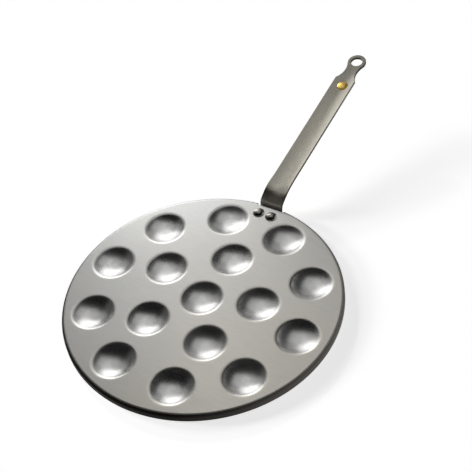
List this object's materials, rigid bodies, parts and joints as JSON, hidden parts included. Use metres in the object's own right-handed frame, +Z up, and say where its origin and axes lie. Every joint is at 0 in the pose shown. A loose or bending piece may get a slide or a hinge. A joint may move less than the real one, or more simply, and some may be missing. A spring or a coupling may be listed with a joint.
{
  "type": "poffertjes pan",
  "caption": "Pressed steel pancake pan: a round flat plate with small round bowls and a turned-down rim, on a riveted, cranked strip handle with a hanging eye and a brass button.",
  "frame": {"origin": "middle of the plane that the pan rests on, which is the flat outside bottom of the middle bowl, on the plate's axis", "axes": "+Z up, square to the plate and out of the bowls; +Y from the plate's axis out along the handle; +X to the right with the handle pointing away"},
  "size_m": [0.27, 0.4759, 0.052],
  "materials": {
    "satin_steel": "satin, lightly oiled raw steel",
    "strip_steel": "brushed along the strip",
    "rivet_steel": "smooth, a little dull",
    "brass": "polished"
  },
  "bodies": {
    "root": {"pan_plate": "satin_steel", "handle": "strip_steel", "rivet_left": "rivet_steel", "rivet_right": "rivet_steel", "brass_button": "brass"}
  },
  "joints": []
}
